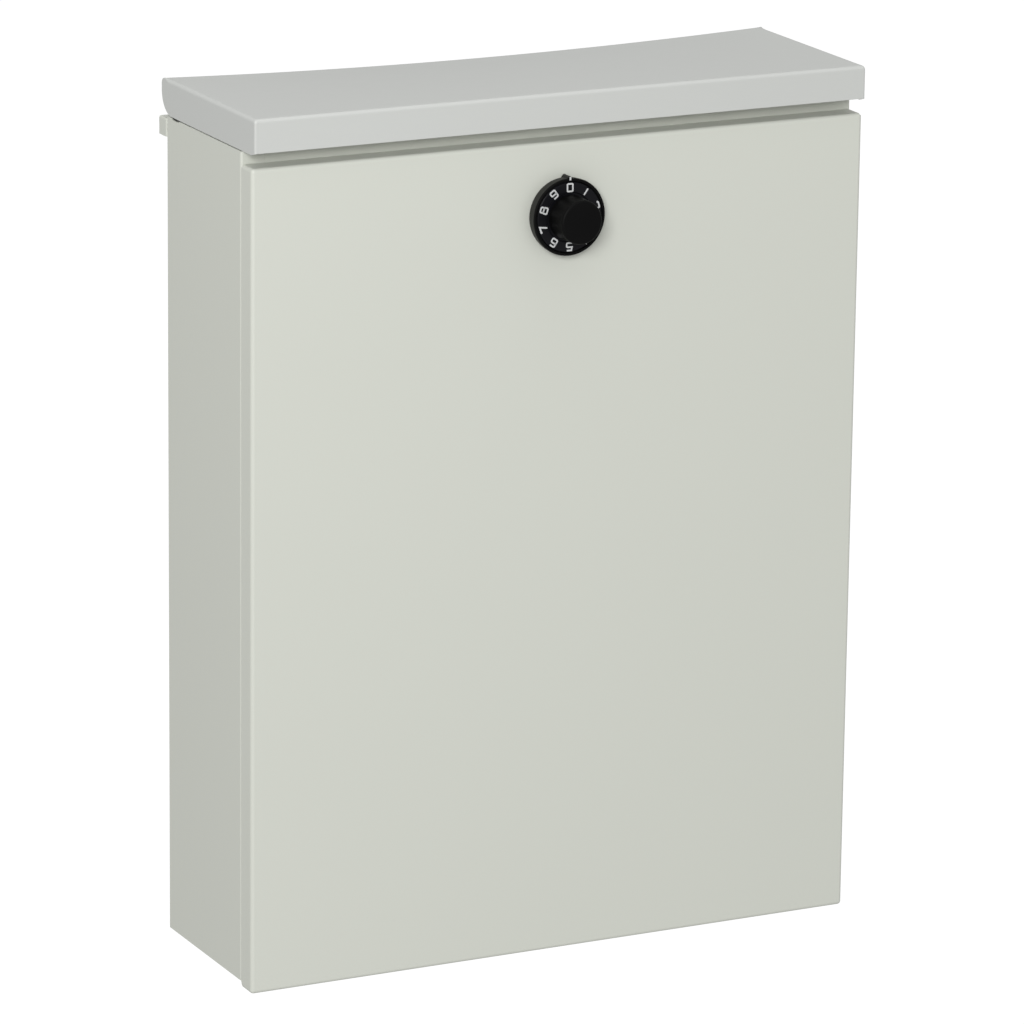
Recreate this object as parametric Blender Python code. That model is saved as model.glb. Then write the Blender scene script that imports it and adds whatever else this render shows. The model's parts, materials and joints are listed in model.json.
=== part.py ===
"""Wall key cabinet: folded steel body, flap lid, drop-front door and a dial combination lock.

Lengths are metres, +Z is up, and +Y runs from the front of the cabinet into the wall.
Every piece is drawn in the door's own datum, whose zero is the middle of the door's lower
front edge. One empty then puts that datum in place, so that the world origin is the middle
of the hanging rail's back face, where the cabinet meets the wall.
"""

import math

import bmesh
import bpy
from mathutils import Matrix, Vector

# Sheet metal
SHEET = 0.0010
BEND = 0.0018
GAP = 0.0003
BEND_STEPS = 3

# Body, measured from the door's lower front edge
WIDTH = 0.320
HALF = WIDTH / 2
BODY_FRONT = 0.0121
BODY_BACK = 0.0983
BODY_BOTTOM = 0.0031
BODY_TOP = 0.4060
FLANGE = 0.012
WALL_PLANE = 0.1080
RAIL_BOTTOM = 0.3960
RAIL_TOP = 0.4048
RAIL_MIDDLE = (RAIL_BOTTOM + RAIL_TOP) / 2
RAIL_BEND = 0.0012

# Header and inner top
HEADER_BOTTOM = 0.3880
HEADER_TOP = 0.4180
HEADER_FLANGE = 0.014
TOP_PANEL_HEIGHT = 0.4030
TOP_PANEL_LIP = 0.010
SLOT_LENGTH = 0.240
SLOT_FRONT = 0.0300
SLOT_BACK = 0.0560
BAFFLE_OVERLAP = 0.0080
BAFFLE_FLANGE = 0.0120
BAFFLE_BEHIND_SLOT = 0.0020
BAFFLE_BEND_HEIGHT = 0.3880
BAFFLE_TOE_Y = 0.0390
BAFFLE_TOE_Z = 0.3600

# Wall fixing
WALL_SCREW_X = 0.110
WALL_SCREW_UPPER_Z = 0.384
WALL_SCREW_LOWER_Z = 0.040
WALL_SCREW_RADIUS = 0.0035
WALL_BUMPER_X = 0.130
WALL_BUMPER_Z = 0.040
WALL_BUMPER_RADIUS = 0.0080
WALL_BUMPER_FACE_RADIUS = 0.0070
WALL_BUMPER_EDGE = 0.0005
MAT_THICKNESS = 0.0015
MAT_SIDE_MARGIN = 0.0030
MAT_FRONT_MARGIN = 0.0050
MAT_BACK_MARGIN = 0.0040

# Door
DOOR_HEIGHT = 0.400
DOOR_DEPTH = BODY_FRONT - GAP
HINGE_Y = 0.0102
HINGE_Z = 0.0015
KNUCKLE_RADIUS = 0.0015
HINGE_PIN_RADIUS = 0.0008
HINGE_HALF = 0.1500
KNUCKLES = 9
DOOR_LIP = 0.0082
HINGE_LEAF = 0.0008
HINGE_LEAF_GAP = 0.0005
HINGE_LEAF_BACK = 0.0260
HINGE_PIN_PLAY = 0.0002

# Lid
LID_HALF = 0.1597
LID_FRONT = -0.0028
LID_BACK = 0.1018
LID_TOP = 0.4237
LID_LIP_BOTTOM = 0.4077
LID_SAG = 0.0034
LID_PIVOT_Y = 0.0935
LID_PIVOT_Z = 0.4177
CHEEK_RADIUS = 0.0112
CHEEK_CORNER = 0.0030
CHEEK_TOE = 0.0040
LID_COLUMNS = 12
LID_ROWS = 6
LID_PIN_RADIUS = 0.0020
LID_PIN_LENGTH = 0.0050
LID_EAR_RADIUS = 0.0035
LID_EAR_THICKNESS = 0.0015
LID_EAR_CLEARANCE = 0.0006
LID_FOOT_FRONT = 0.0090
LID_FOOT_REACH = 0.0120
LID_BUMPER_X = 0.120
LID_BUMPER_SETBACK = 0.0075
LID_BUMPER_RADIUS = 0.0050
LID_BUMPER_TIP_RADIUS = 0.0042

# Key rails
RAIL_ROWS = 4
RAIL_FIRST = 0.0850
RAIL_PITCH = 0.0780
RAIL_HALF = 0.1450
RAIL_HEIGHT = 0.0200
RAIL_SHEET = 0.0012
HOOKS = 10
HOOK_PITCH = 0.0270
HOOK_WIDTH = 0.0040
HOOK_REACH = 0.0130
HOOK_TIP = 0.0060
HOOK_DROP = 0.0040
HOOK_LEAN = 0.0008
RAIL_SCREW_INSET = 0.0060
RAIL_SCREW_HOLE = 0.0017

# Dial and lock, along the lock's axis
LOCK_Z = 0.3648
BEZEL_BASE_RADIUS = 0.0179
BEZEL_RADIUS = 0.0187
BEZEL_BORE = 0.0172
BEZEL_FRONT = -0.0072
BEZEL_FLOOR = -0.0015
BEZEL_EDGE = 0.0008
INDEX_RADIUS = 0.0196
INDEX_SUNK = 0.0012
INDEX_FOOT = 0.0026
INDEX_TIP = 0.0004
INDEX_STEP = 0.0006
BEZEL_CORE = 0.0100
BEZEL_SCREW_HOLE = 0.0016
DIAL_RADIUS = 0.0169
DIAL_FRONT = -0.0070
DIAL_EDGE = 0.0004
GROOVE_RADIUS = 0.0119
GROOVE_DEPTH = 0.0006
KNOB_RADIUS = 0.0108
KNOB_FRONT = -0.0203
KNOB_DISH = 0.0002
KNOB_CROWN = 0.0012
KNOB_TAPER = 0.0003
KNOB_WALL = 0.0030
SPINDLE_RADIUS = 0.0025
SPINDLE_BORE = 0.0028
SPINDLE_BACK = 0.0133
POST_RADIUS = 0.0038
POST_HOLE = 0.0041
WHEEL_RADIUS = 0.0120
WHEEL_THICKNESS = 0.0014
WHEEL_FIRST = 0.0036
WHEEL_PITCH = 0.0026
GATE_HALF = 0.0019
GATE_DEPTH = 0.0036
FLY_ORBIT = 0.0092
FLY_SIZE = 0.0016
FLY_HEIGHT = 0.0008
FLY_SUNK = 0.0001
SPACER_RADIUS = 0.0062
CAM_FRONT = 0.0114
CAM_THICKNESS = 0.0016
CASE_HALF = 0.0210
CASE_WALL = 0.0014
CASE_FRONT = 0.0013
CASE_BACK = 0.0169
COVER_THICKNESS = 0.0012
BOLT_HALF = 0.0080
BOLT_FRONT = 0.0142
BOLT_BACK = 0.0166
BOLT_TOP = 0.3876
BOLT_BOTTOM = 0.3560
FENCE_HALF = 0.0014
FENCE_BOTTOM = 0.3772
FENCE_TOP = 0.3800
CASE_SCREW_OFFSET = 0.0150
CASE_SCREW_HOLE = 0.0017
CASE_SCREW_SHANK = 0.0013
COVER_SCREW_OFFSET = 0.0180
COVER_SCREW_HOLE = 0.0014
COVER_SCREW_SHANK = 0.0011
COVER_SCREW_LENGTH = 0.0080
BOSS_HALF = 0.0026
BOSS_INSET = 0.0004
LOCK_SCREW_HEAD = 0.0024
LOCK_SCREW_HEAD_HEIGHT = 0.0015
RAIL_SCREW_HEAD = 0.0030
RAIL_SCREW_HEAD_HEIGHT = 0.0018
RAIL_SCREW_SHANK = 0.0014
RAIL_SCREW_LENGTH = 0.0045

ROUND = 28
SMALL_ROUND = 12
PIN_ROUND = 24
DIAL_ROUND = 48
SMOOTH_ANGLE = math.radians(32)
PASS = 0.0020
OVERRUN = 0.00001


# ------------------------------------------------------------------ scene and materials

def clear_scene():
    for item in list(bpy.data.objects):
        bpy.data.objects.remove(item, do_unlink=True)


def make_material(name, colour, roughness, metallic):
    material = bpy.data.materials.new(name)
    material.use_nodes = True
    shader = material.node_tree.nodes["Principled BSDF"]
    shader.inputs["Base Color"].default_value = (*colour, 1.0)
    shader.inputs["Roughness"].default_value = roughness
    shader.inputs["Metallic"].default_value = metallic
    material.diffuse_color = (*colour, 1.0)
    return material


def make_axis(name, parent, place):
    """An empty at a place given in the datum, for the pieces that turn or slide there."""
    axis = bpy.data.objects.new(name, None)
    bpy.context.scene.collection.objects.link(axis)
    axis.parent = parent
    axis["datum_place"] = place
    offset = Vector(parent["datum_place"]) if parent else Vector((0, 0, 0))
    axis.location = Vector(place) - offset
    return axis


def add_object(name, bm, material, parent, closed=True):
    """A piece drawn in the datum, hung on its parent empty. An open sheet keeps its own facing."""
    if closed:
        bmesh.ops.recalc_face_normals(bm, faces=bm.faces)
    mesh = bpy.data.meshes.new(name)
    bm.to_mesh(mesh)
    bm.free()
    mesh.materials.append(material)
    mesh.shade_smooth()
    mesh.set_sharp_from_angle(angle=SMOOTH_ANGLE)
    piece = bpy.data.objects.new(name, mesh)
    bpy.context.scene.collection.objects.link(piece)
    piece.parent = parent
    piece.location = -Vector(parent["datum_place"])
    return piece


# ------------------------------------------------------------------ shapes

def box_mesh(low, high, bm=None):
    bm = bm or bmesh.new()
    size = Vector(high) - Vector(low)
    middle = (Vector(high) + Vector(low)) / 2
    matrix = Matrix.Translation(middle) @ Matrix.Diagonal((*size, 1.0))
    bmesh.ops.create_cube(bm, size=1.0, matrix=matrix)
    return bm


def turned_mesh(profile, centre, steps=ROUND, bm=None, axis="Y"):
    """A closed profile of (radius, place along the axis) turned about an axis through centre."""
    bm = bm or bmesh.new()
    rings = []
    for radius, along in profile:
        ring = []
        count = steps if radius > 0 else 1
        for step in range(count):
            turn = 2 * math.pi * step / steps
            across = radius * math.cos(turn)
            up = radius * math.sin(turn)
            if axis == "Y":
                place = (centre[0] + across, along, centre[1] + up)
            else:
                place = (along, centre[0] + across, centre[1] + up)
            ring.append(bm.verts.new(place))
        rings.append(ring)
    closed = profile[0][0] > 0
    pairs = len(rings) if closed else len(rings) - 1
    for index in range(pairs):
        first = rings[index]
        second = rings[(index + 1) % len(rings)]
        for step in range(steps):
            corners = [first[step % len(first)], first[(step + 1) % len(first)],
                       second[(step + 1) % len(second)], second[step % len(second)]]
            bm.faces.new(list(dict.fromkeys(corners)))
    return bm


def rod_mesh(radius, start, end, centre, steps=SMALL_ROUND, bm=None, axis="Y"):
    profile = [(0, start), (radius, start), (radius, end), (0, end)]
    return turned_mesh(profile, centre, steps, bm, axis)


def tube_mesh(outer, inner, start, end, centre, steps=ROUND, axis="Y"):
    profile = [(inner, start), (outer, start), (outer, end), (inner, end)]
    return turned_mesh(profile, centre, steps, None, axis)


def prism_mesh(outline, start, end, bm=None):
    """A closed outline of (y, z) drawn out along X."""
    bm = bm or bmesh.new()
    planes = []
    for x in (start, end):
        planes.append([bm.verts.new((x, y, z)) for y, z in outline])
    bm.faces.new(planes[0])
    bm.faces.new(list(reversed(planes[1])))
    for index in range(len(outline)):
        after = (index + 1) % len(outline)
        bm.faces.new((planes[0][index], planes[0][after], planes[1][after], planes[1][index]))
    return bm


WALL_CORNERS = {
    "left": (0, 1, 3, 2),
    "right": (4, 6, 7, 5),
    "front": (0, 4, 5, 1),
    "back": (2, 3, 7, 6),
    "bottom": (0, 2, 6, 4),
    "top": (1, 5, 7, 3),
}


def folded_sheet(name, low, high, walls, material, parent, thickness=SHEET, bend=BEND):
    """Sheet metal folded along the edges of a box: only the listed walls of the box are there."""
    bm = bmesh.new()
    corners = []
    for x in (low[0], high[0]):
        for y in (low[1], high[1]):
            for z in (low[2], high[2]):
                corners.append(bm.verts.new((x, y, z)))
    for wall in walls:
        bm.faces.new([corners[index] for index in WALL_CORNERS[wall]])
    for corner in corners:
        if not corner.link_faces:
            bm.verts.remove(corner)
    return finish_sheet(name, bm, material, parent, thickness, bend)


def fold_edges(bm, bend, steps=BEND_STEPS):
    """Rounds each edge where two walls of a sheet meet at an angle."""
    folds = [edge for edge in bm.edges if len(edge.link_faces) == 2 and edge.calc_face_angle(0) > 0.5]
    bmesh.ops.bevel(bm, geom=folds, offset=bend, segments=steps, profile=0.5, affect="EDGES")


def finish_sheet(name, bm, material, parent, thickness=SHEET, bend=BEND):
    fold_edges(bm, bend)
    return thicken(add_object(name, bm, material, parent, closed=False), thickness)


def thicken(piece, thickness):
    solid = piece.modifiers.new("Sheet", "SOLIDIFY")
    solid.thickness = thickness
    solid.offset = -1.0
    solid.use_even_offset = True
    return piece


def combine(piece, tool, operation):
    """Cuts a piece with a hidden tool, or joins the tool's shape to it."""
    tool.hide_render = True
    tool.display_type = "WIRE"
    change = piece.modifiers.new(tool.name, "BOOLEAN")
    change.object = tool
    change.operation = operation
    change.solver = "EXACT"


def cut_mesh(piece, bm, parent, label="cutter"):
    tool = add_object(piece.name + "_" + label, bm, piece.data.materials[0], parent)
    combine(piece, tool, "DIFFERENCE")


def cut_box(piece, low, high, parent, label="cutter"):
    cut_mesh(piece, box_mesh(low, high), parent, label)


def cut_holes(piece, places, radius, start, end, parent, label="drill", steps=SMALL_ROUND):
    """Round holes through a piece along Y, at the given places (x, z)."""
    bm = bmesh.new()
    for place in places:
        rod_mesh(radius, start, end, place, steps, bm)
    cut_mesh(piece, bm, parent, label)


def join_mesh(piece, bm, parent, label="join"):
    tool = add_object(piece.name + "_" + label, bm, piece.data.materials[0], parent)
    combine(piece, tool, "UNION")


def screw_mesh(head_radius, head_height, shank_radius, length, head_face, centre, way=1):
    """A pan-head screw along Y: its head's underside is at head_face, and it runs way * length."""
    top = head_face - way * head_height
    socket = head_radius * 0.38
    profile = [
        (0, top + way * head_height * 0.55),
        (socket, top + way * head_height * 0.45),
        (socket, top),
        (head_radius * 0.72, top),
        (head_radius, top + way * head_height * 0.5),
        (head_radius, head_face),
        (shank_radius, head_face),
        (shank_radius, head_face + way * length),
        (0, head_face + way * length),
    ]
    return turned_mesh(profile, centre, SMALL_ROUND)


# ------------------------------------------------------------------ body

def make_side_panels(paint, root):
    """Each side is one sheet, with a flange folded inward along its front and its back."""
    for side, name in ((-1, "side_panel_left"), (1, "side_panel_right")):
        outer = side * HALF
        inner = side * (HALF - FLANGE)
        wall = "left" if side < 0 else "right"
        low = (min(outer, inner), BODY_FRONT, BODY_BOTTOM)
        high = (max(outer, inner), BODY_BACK, BODY_TOP)
        folded_sheet(name, low, high, (wall, "front", "back"), paint, root)


def wall_screw_places():
    upper = [(side * WALL_SCREW_X, WALL_SCREW_UPPER_Z) for side in (-1, 1)]
    return upper + [(0.0, WALL_SCREW_LOWER_Z)]


def rail_heights():
    return [RAIL_FIRST + row * RAIL_PITCH for row in range(RAIL_ROWS)]


def rail_screw_places():
    reach = RAIL_HALF - RAIL_SCREW_INSET
    return [(side * reach, height) for height in rail_heights() for side in (-1, 1)]


def make_back_panel(paint, root):
    back = BODY_BACK - SHEET - GAP
    low = (-HALF + SHEET + GAP, back - SHEET, BODY_BOTTOM + SHEET + GAP)
    high = (HALF - SHEET - GAP, back, TOP_PANEL_HEIGHT)
    panel = add_object("back_panel", box_mesh(low, high), paint, root)
    start = back - SHEET - PASS
    end = back + PASS
    cut_holes(panel, wall_screw_places(), WALL_SCREW_RADIUS, start, end, root)
    cut_holes(panel, rail_screw_places(), RAIL_SCREW_HOLE, start, end, root, "rail_drill")
    return back - SHEET


def make_bottom_panel(paint, root, back_face):
    low = (-HALF + SHEET + GAP, BODY_FRONT + SHEET + GAP, BODY_BOTTOM)
    high = (HALF - SHEET - GAP, back_face - GAP, BODY_BOTTOM + TOP_PANEL_LIP)
    folded_sheet("bottom_panel", low, high, ("bottom", "left", "right", "front", "back"), paint, root)


def make_top_panel(paint, root, back_face):
    low = (-HALF + SHEET + GAP, BODY_FRONT + SHEET + GAP, TOP_PANEL_HEIGHT - TOP_PANEL_LIP)
    high = (HALF - SHEET - GAP, back_face - GAP, TOP_PANEL_HEIGHT)
    panel = folded_sheet("top_panel", low, high, ("top", "left", "right"), paint, root)
    slot_low = (-SLOT_LENGTH / 2, SLOT_FRONT, TOP_PANEL_HEIGHT - SHEET - PASS)
    slot_high = (SLOT_LENGTH / 2, SLOT_BACK, TOP_PANEL_HEIGHT + PASS)
    cut_box(panel, slot_low, slot_high, root)


def make_drop_baffle(paint, root):
    """Hangs behind the slot and leans forward, so that nothing can be fished up past it."""
    bm = bmesh.new()
    edge = SLOT_LENGTH / 2 + BAFFLE_OVERLAP
    top = TOP_PANEL_HEIGHT - SHEET - GAP
    fold = SLOT_BACK + BAFFLE_BEHIND_SLOT
    line = [
        (fold + BAFFLE_FLANGE, top),
        (fold, top),
        (fold, BAFFLE_BEND_HEIGHT),
        (BAFFLE_TOE_Y, BAFFLE_TOE_Z),
    ]
    rows = [[bm.verts.new((x, y, z)) for x in (-edge, edge)] for y, z in line]
    for upper, lower in zip(rows, rows[1:]):
        bm.faces.new((upper[0], lower[0], lower[1], upper[1]))
    finish_sheet("drop_baffle", bm, paint, root)


def make_front_header(paint, root):
    """The strip between the door and the lid; the bolt rises behind its lower edge."""
    edge = HALF - FLANGE - GAP
    low = (-edge, BODY_FRONT, HEADER_BOTTOM)
    high = (edge, BODY_FRONT + HEADER_FLANGE, HEADER_TOP)
    folded_sheet("front_header", low, high, ("front", "top"), paint, root)


def make_hanging_rail(paint, root):
    """A channel, open below, that hooks over a batten on the wall."""
    low = (-HALF, BODY_BACK + GAP, RAIL_BOTTOM)
    high = (HALF, WALL_PLANE, RAIL_TOP)
    walls = ("top", "front", "back", "left", "right")
    folded_sheet("hanging_rail", low, high, walls, paint, root, bend=RAIL_BEND)


def make_wall_bumpers(rubber, root, back_rear):
    for side, name in ((-1, "wall_bumper_left"), (1, "wall_bumper_right")):
        profile = [
            (0, back_rear + GAP),
            (WALL_BUMPER_RADIUS, back_rear + GAP),
            (WALL_BUMPER_FACE_RADIUS, WALL_PLANE - WALL_BUMPER_EDGE),
            (WALL_BUMPER_FACE_RADIUS - WALL_BUMPER_EDGE, WALL_PLANE),
            (0, WALL_PLANE),
        ]
        place = (side * WALL_BUMPER_X, WALL_BUMPER_Z)
        add_object(name, turned_mesh(profile, place), rubber, root)


def make_floor_mat(rubber, root, back_face):
    lowest = BODY_BOTTOM + SHEET + GAP
    side = HALF - 2 * SHEET - MAT_SIDE_MARGIN
    low = (-side, BODY_FRONT + MAT_FRONT_MARGIN, lowest)
    high = (side, back_face - MAT_BACK_MARGIN, lowest + MAT_THICKNESS)
    add_object("floor_mat", box_mesh(low, high), rubber, root)


# ------------------------------------------------------------------ key rails

def make_key_rails(steel, root, back_face):
    """Each rail is a strip whose hooks are punched out and bent forward, with their tips turned up."""
    rear = back_face - GAP
    front = rear - RAIL_SHEET
    for number, height in enumerate(rail_heights(), start=1):
        low = (-RAIL_HALF, front, height - RAIL_HEIGHT / 2)
        high = (RAIL_HALF, rear, height + RAIL_HEIGHT / 2)
        rail = add_object("key_rail_%d" % number, box_mesh(low, high), steel, root)
        hooks = bmesh.new()
        for index in range(HOOKS):
            middle = (index - (HOOKS - 1) / 2) * HOOK_PITCH
            add_hook(hooks, middle, front, height)
        join_mesh(rail, hooks, root)
        places = [place for place in rail_screw_places() if place[1] == height]
        cut_holes(rail, places, RAIL_SCREW_HOLE, front - PASS, rear + PASS, root)
    return front


def add_hook(bm, middle, front, height):
    """One hook: an L-shaped outline in the YZ plane, as wide as the tab it is bent from."""
    level = height - HOOK_DROP
    thick = RAIL_SHEET
    corner = thick / 2
    tip = front - HOOK_REACH
    lean = tip - HOOK_LEAN
    outline = [
        (front + corner, level),
        (tip + corner, level),
        (tip, level + corner),
        (lean, level + HOOK_TIP),
        (lean + thick, level + HOOK_TIP),
        (tip + thick + corner / 2, level + thick),
        (front + corner, level + thick),
    ]
    prism_mesh(outline, middle - HOOK_WIDTH / 2, middle + HOOK_WIDTH / 2, bm)


def make_rail_screws(steel, root, rail_front):
    for number, place in enumerate(rail_screw_places(), start=1):
        bm = screw_mesh(RAIL_SCREW_HEAD, RAIL_SCREW_HEAD_HEIGHT, RAIL_SCREW_SHANK, RAIL_SCREW_LENGTH,
                        rail_front - GAP, place)
        add_object("rail_screw_%d" % number, bm, steel, root)


# ------------------------------------------------------------------ lid

def lid_drop(x, y):
    """How far the lid's top hangs down: nothing at the front and at the cheeks, most at the back."""
    across = 1.0 - (x / LID_HALF) ** 2
    along = max(0.0, (y - LID_FRONT) / (LID_BACK - LID_FRONT))
    return LID_SAG * max(0.0, across) * along ** 2


def cheek_outline():
    """The cheek's rear edge, from the top's rear corner round the pivot to the lower edge."""
    rear = LID_PIVOT_Y + CHEEK_RADIUS
    points = []
    for step in range(1, 4):
        turn = math.radians(90 - 30 * step)
        points.append((rear - CHEEK_CORNER + CHEEK_CORNER * math.cos(turn),
                       LID_TOP - CHEEK_CORNER + CHEEK_CORNER * math.sin(turn)))
    for step in range(0, 7):
        turn = math.radians(-15 * step)
        points.append((LID_PIVOT_Y + CHEEK_RADIUS * math.cos(turn),
                       LID_PIVOT_Z + CHEEK_RADIUS * math.sin(turn)))
    return points


def make_lid_shell(paint, axis):
    columns = LID_COLUMNS
    xs = [-LID_HALF + 2 * LID_HALF * index / columns for index in range(columns + 1)]
    ys = [LID_FRONT + (LID_BACK - LID_FRONT) * index / LID_ROWS for index in range(LID_ROWS + 1)]
    bm = bmesh.new()
    top = [[bm.verts.new((x, y, LID_TOP)) for x in xs] for y in ys]
    lip = [bm.verts.new((x, LID_FRONT, LID_LIP_BOTTOM)) for x in xs]
    for near, far in zip(top, top[1:]):
        for index in range(columns):
            bm.faces.new((near[index], near[index + 1], far[index + 1], far[index]))
    for index in range(columns):
        bm.faces.new((lip[index], lip[index + 1], top[0][index + 1], top[0][index]))
    low_front = LID_PIVOT_Z - CHEEK_RADIUS
    for index, column in ((0, 0), (-1, columns)):
        x = xs[index]
        edge = [row[column] for row in top]
        rear = [bm.verts.new((x, y, z)) for y, z in cheek_outline()]
        toe = bm.verts.new((x, LID_FRONT + CHEEK_TOE, low_front))
        loop = edge + rear + [toe, lip[column]]
        bm.faces.new(loop if index == 0 else list(reversed(loop)))
    for face in bm.faces:
        face.normal_update()
    fold_edges(bm, BEND)
    for vertex in bm.verts:
        if vertex.co.z > LID_TOP - BEND * 1.01:
            vertex.co.z -= lid_drop(vertex.co.x, vertex.co.y)
    bmesh.ops.reverse_faces(bm, faces=[face for face in bm.faces if faces_inward(face)])
    thicken(add_object("lid_shell", bm, paint, axis, closed=False), SHEET)


def faces_inward(face):
    """True where a face of the lid looks at the lid's own middle."""
    middle = Vector((0, (LID_FRONT + LID_BACK) / 2, LID_LIP_BOTTOM - 0.02))
    return face.normal.dot(face.calc_center_median() - middle) < 0


def make_lid_pivots(steel, root, axis):
    """A stud inside each cheek turns in the ear of a bracket that stands on the top panel."""
    floor = TOP_PANEL_HEIGHT + GAP
    front = LID_PIVOT_Y - LID_FOOT_FRONT
    rear = LID_PIVOT_Y + LID_EAR_RADIUS
    outline = [(rear, floor)]
    for step in range(9):
        turn = math.radians(22.5 * step)
        outline.append((LID_PIVOT_Y + LID_EAR_RADIUS * math.cos(turn),
                        LID_PIVOT_Z + LID_EAR_RADIUS * math.sin(turn)))
    outline.append((front, floor))
    ear_outer = LID_HALF - SHEET - LID_EAR_CLEARANCE
    ear_inner = ear_outer - LID_EAR_THICKNESS
    pivot = (LID_PIVOT_Y, LID_PIVOT_Z)
    for side, word in ((-1, "left"), (1, "right")):
        ear = prism_mesh(outline, side * ear_inner, side * ear_outer)
        bracket = add_object("lid_bracket_" + word, ear, steel, root)
        foot = sorted((side * (ear_inner - LID_FOOT_REACH), side * (ear_inner + LID_EAR_THICKNESS / 3)))
        join_mesh(bracket, box_mesh((foot[0], front, floor), (foot[1], rear, floor + LID_EAR_THICKNESS)),
                  root, "foot")
        drill = rod_mesh(LID_PIN_RADIUS + GAP, side * (ear_inner - PASS), side * (ear_outer + GAP),
                         pivot, PIN_ROUND, None, "X")
        cut_mesh(bracket, drill, root, "drill")
        face = side * (LID_HALF - SHEET - GAP)
        pin = rod_mesh(LID_PIN_RADIUS, face, face - side * LID_PIN_LENGTH, pivot, PIN_ROUND, None, "X")
        add_object("lid_pivot_pin_" + word, pin, steel, axis)


def make_lid_bumpers(rubber, root):
    base = HEADER_TOP + GAP
    top = LID_TOP - SHEET - GAP
    for side, word in ((-1, "left"), (1, "right")):
        bm = bmesh.new()
        middle = (side * LID_BUMPER_X, BODY_FRONT + LID_BUMPER_SETBACK, (base + top) / 2)
        bmesh.ops.create_cone(bm, cap_ends=True, segments=PIN_ROUND, radius1=LID_BUMPER_RADIUS,
                              radius2=LID_BUMPER_TIP_RADIUS, depth=top - base,
                              matrix=Matrix.Translation(middle))
        add_object("lid_bumper_" + word, bm, rubber, root)


# ------------------------------------------------------------------ door and its hinge

def make_door_panel(paint, axis):
    low = (-HALF, 0.0, 0.0)
    high = (HALF, DOOR_DEPTH, DOOR_HEIGHT)
    walls = ("front", "left", "right", "top", "bottom")
    door = folded_sheet("door_panel", low, high, walls, paint, axis)
    clear = HALF - SHEET - PASS
    cut_box(door, (-clear, DOOR_LIP, -PASS), (clear, DOOR_DEPTH + PASS, SHEET + PASS), axis)
    cut_holes(door, [(0.0, LOCK_Z)], POST_HOLE, -PASS, SHEET + PASS, axis)
    cut_holes(door, case_screw_places(), CASE_SCREW_HOLE, -PASS, SHEET + PASS, axis, "screw_drill")


def case_screw_places():
    return [(side * CASE_SCREW_OFFSET, LOCK_Z) for side in (-1, 1)]


def knuckle_spans(owner):
    """The stretches of the barrel that belong to one leaf: 0 for the body's, 1 for the door's."""
    length = 2 * HINGE_HALF / KNUCKLES
    spans = []
    for index in range(KNUCKLES):
        if index % 2 == owner:
            start = -HINGE_HALF + index * length
            spans.append((start + GAP / 2, start + length - GAP / 2))
    return spans


def make_hinge_leaf(name, owner, plate_low, plate_high, tab_y, steel, parent):
    """One leaf, with tabs that curl round the hinge line into its share of the knuckles."""
    leaf = add_object(name, box_mesh(plate_low, plate_high), steel, parent)
    tabs = bmesh.new()
    barrels = bmesh.new()
    for start, end in knuckle_spans(owner):
        box_mesh((start, min(tab_y), plate_low[2]), (end, max(tab_y), plate_high[2]), tabs)
        rod_mesh(KNUCKLE_RADIUS, start - OVERRUN, end + OVERRUN, (HINGE_Y, HINGE_Z), 20, barrels, "X")
    join_mesh(leaf, tabs, parent, "tabs")
    join_mesh(leaf, barrels, parent, "barrels")
    bore = rod_mesh(HINGE_PIN_RADIUS + HINGE_PIN_PLAY, -HINGE_HALF - PASS, HINGE_HALF + PASS,
                    (HINGE_Y, HINGE_Z), SMALL_ROUND, None, "X")
    cut_mesh(leaf, bore, parent, "bore")


def make_door_hinge(steel, root, axis):
    """A long hinge hidden behind the door's lower edge, just under the body."""
    body_top = BODY_BOTTOM - GAP
    near = KNUCKLE_RADIUS + HINGE_LEAF_GAP
    far = near + HINGE_LEAF_GAP
    make_hinge_leaf("hinge_leaf_body", 0,
                    (-HINGE_HALF, HINGE_Y + near, body_top - HINGE_LEAF),
                    (HINGE_HALF, HINGE_LEAF_BACK, body_top),
                    (HINGE_Y + HINGE_PIN_PLAY, HINGE_Y + far), steel, root)
    lip_top = SHEET + GAP
    make_hinge_leaf("hinge_leaf_door", 1,
                    (-HINGE_HALF, 2 * SHEET, lip_top),
                    (HINGE_HALF, HINGE_Y - near, lip_top + HINGE_LEAF),
                    (HINGE_Y - far, HINGE_Y - HINGE_PIN_PLAY), steel, axis)
    pin = rod_mesh(HINGE_PIN_RADIUS, -HINGE_HALF, HINGE_HALF, (HINGE_Y, HINGE_Z), SMALL_ROUND, None, "X")
    add_object("hinge_pin", pin, steel, root)


# ------------------------------------------------------------------ dial

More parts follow.
